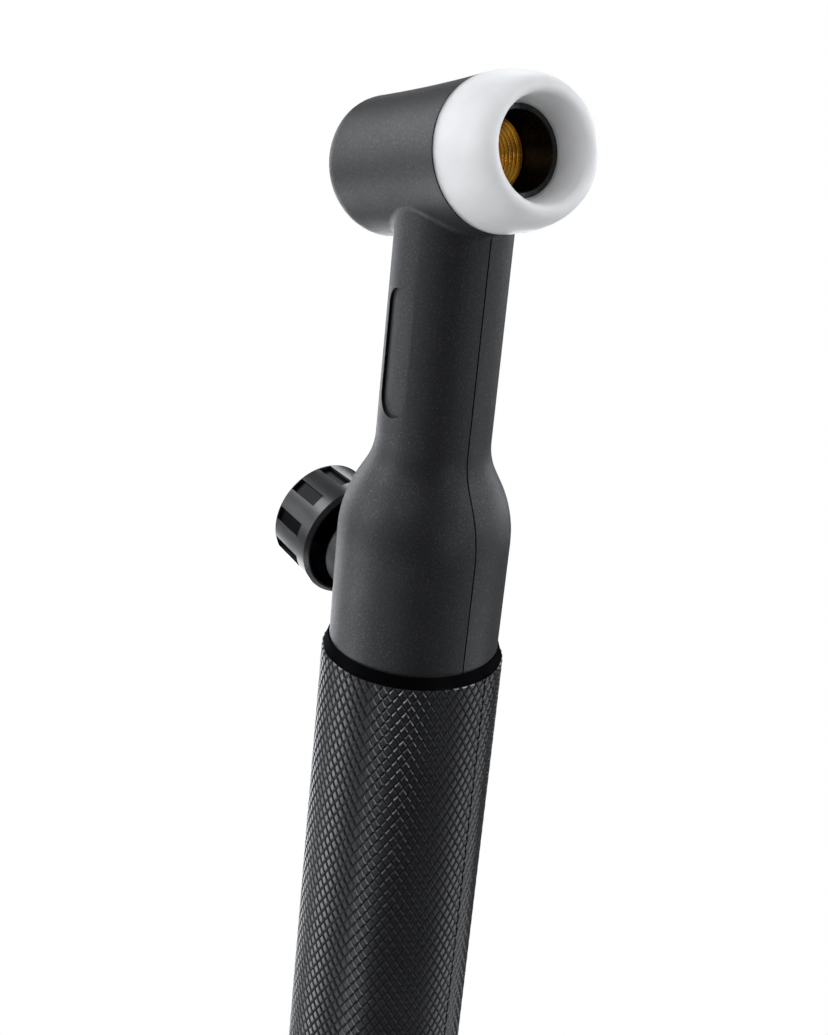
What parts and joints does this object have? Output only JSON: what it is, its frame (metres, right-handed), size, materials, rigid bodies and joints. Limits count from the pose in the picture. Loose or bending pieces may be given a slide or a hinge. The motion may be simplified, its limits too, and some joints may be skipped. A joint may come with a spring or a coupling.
{
  "type": "tig torch",
  "caption": "Air-cooled TIG torch body: angled head with white cup gasket, round neck, bulb with fluted gas-valve knob, knurled tube handle.",
  "frame": {"origin": "centre of the cable connector's end face, inside the handle, on the handle's axis", "axes": "+Z along the handle towards the head, +X towards the nozzle side, +Y across the torch"},
  "size_m": [0.0433, 0.0244, 0.1939],
  "materials": {
    "jacket_black": "fine grained, matt",
    "spigot_black": "glossy moulded",
    "gasket_white": "satin white fluoropolymer",
    "brass": "machined",
    "copper": "drawn tube",
    "sleeve_cream": "glass-fibre sleeve",
    "seat_white": "soft seat",
    "stainless": "turned",
    "seal_rubber": "soft",
    "knob_black": "semi-gloss moulded",
    "handle_black": "knurled, satin"
  },
  "bodies": {
    "torch_body": {"jacket": "jacket_black", "head_socket": "brass", "spigot_sleeve": "spigot_black", "cup_gasket": "gasket_white", "neck_tube": "copper", "neck_sleeve": "sleeve_cream", "tail_tube": "copper", "tail_sleeve": "sleeve_cream", "cable_connector": "brass", "handle_o_rings": "seal_rubber", "valve_block": "brass", "valve_seat": "seat_white", "bonnet_washer": "copper", "bonnet_nut": "brass", "stem_clip": "stainless"},
    "handle_tube": {"handle": "handle_black"},
    "stem_rings": {"stem_o_rings": "seal_rubber"},
    "knob_and_stem": {"valve_stem": "stainless", "valve_knob": "knob_black", "knob_insert": "brass", "knob_screw": "stainless"}
  },
  "joints": [
    {"name": "handle_slide", "type": "slide", "parent": "torch_body", "child": "handle_tube", "axis": [0, 0, -1], "range_m": [0, 0.06]},
    {"name": "stem_lift", "type": "slide", "parent": "torch_body", "child": "stem_rings", "axis": [-0.9976, 0, 0.0698], "range_m": [0, 0.0012]},
    {"name": "valve_turn", "type": "hinge", "parent": "stem_rings", "child": "knob_and_stem", "pos_m": [0, 0, 0.06], "axis": [-0.9976, 0, 0.0698], "range_deg": [0, 540]}
  ],
  "couplings": [
    {"joint": "valve_turn", "follows": "stem_lift", "rad_per_m": 7854}
  ]
}
